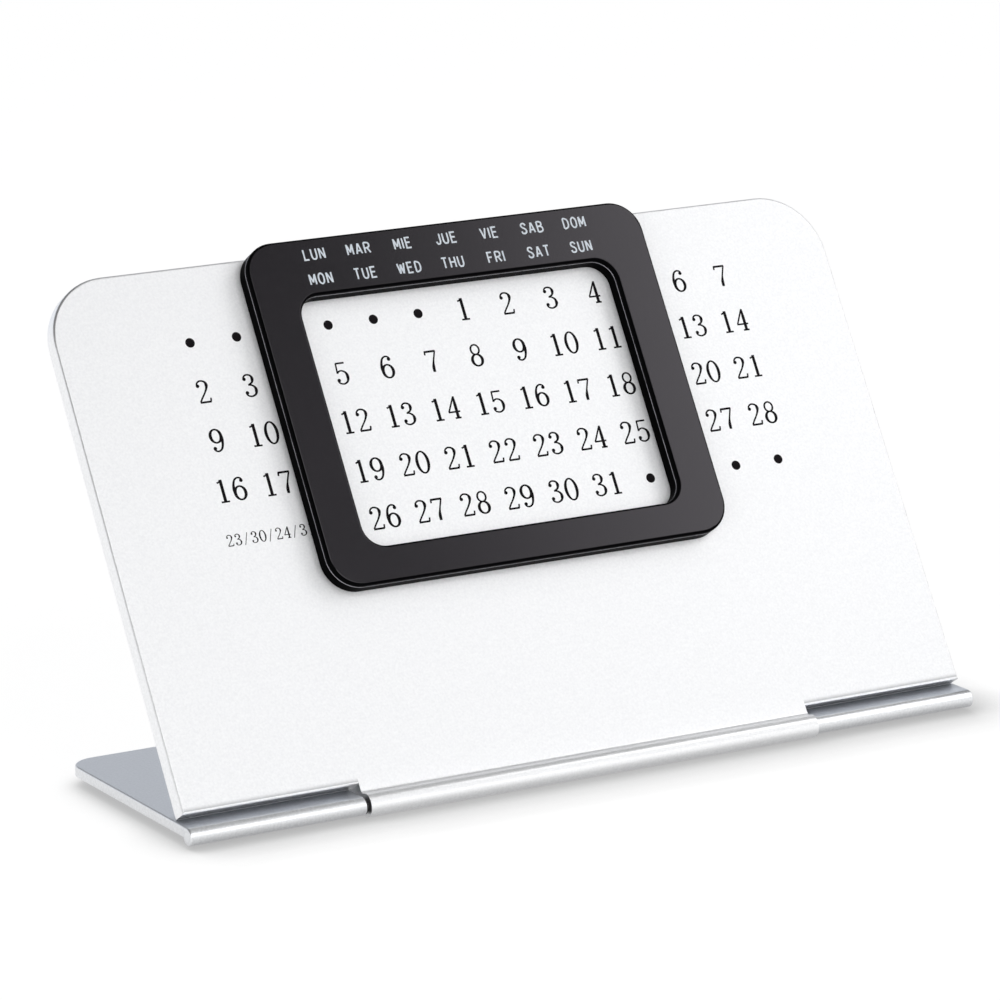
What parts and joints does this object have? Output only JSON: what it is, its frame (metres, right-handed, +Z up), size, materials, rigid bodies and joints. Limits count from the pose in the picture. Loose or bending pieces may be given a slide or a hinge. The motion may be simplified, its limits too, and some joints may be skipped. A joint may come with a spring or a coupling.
{
  "type": "perpetual desk calendar",
  "caption": "Leaning aluminium plate with a grid of day numbers, hinged to a thin base, with a black window frame that slides along its top edge.",
  "frame": {"origin": "on the table plane, under the middle of the object's bounding box at rest", "axes": "+X along the hinge to the right as seen from the front, +Y to the rear, +Z up"},
  "size_m": [0.151, 0.0568, 0.0862],
  "materials": {
    "panel_aluminium": "fine bead-blasted and silver anodised",
    "base_aluminium": "satin, silver anodised",
    "pin_steel": "ground rod",
    "washer_steel": "dark spring steel",
    "foot_rubber": "matte",
    "frame_black": "glossy moulded black",
    "face_black": "satin black anodised",
    "tape_film": "bonding film",
    "felt": "short wool felt"
  },
  "bodies": {
    "root": {"base_plate": "base_aluminium", "hinge_pin_left": "pin_steel", "hinge_pin_right": "pin_steel", "spring_washer": "washer_steel", "foot_front_left": "foot_rubber", "foot_front_right": "foot_rubber", "foot_rear_left": "foot_rubber", "foot_rear_right": "foot_rubber"},
    "panel": {"display_panel": "panel_aluminium"},
    "slider": {"slider_body": "frame_black", "slider_face": "face_black", "face_tape": "tape_film", "glide_pad_left": "felt", "glide_pad_right": "felt"}
  },
  "joints": [
    {"name": "panel_fold", "type": "hinge", "parent": "root", "child": "panel", "pos_m": [0, -0.02649, 0.0021], "axis": [1, 0, 0], "range_deg": [0, 117]},
    {"name": "window_slide", "type": "slide", "parent": "panel", "child": "slider", "axis": [1, 0, 0], "range_m": [-0.0246, 0.0273]}
  ]
}
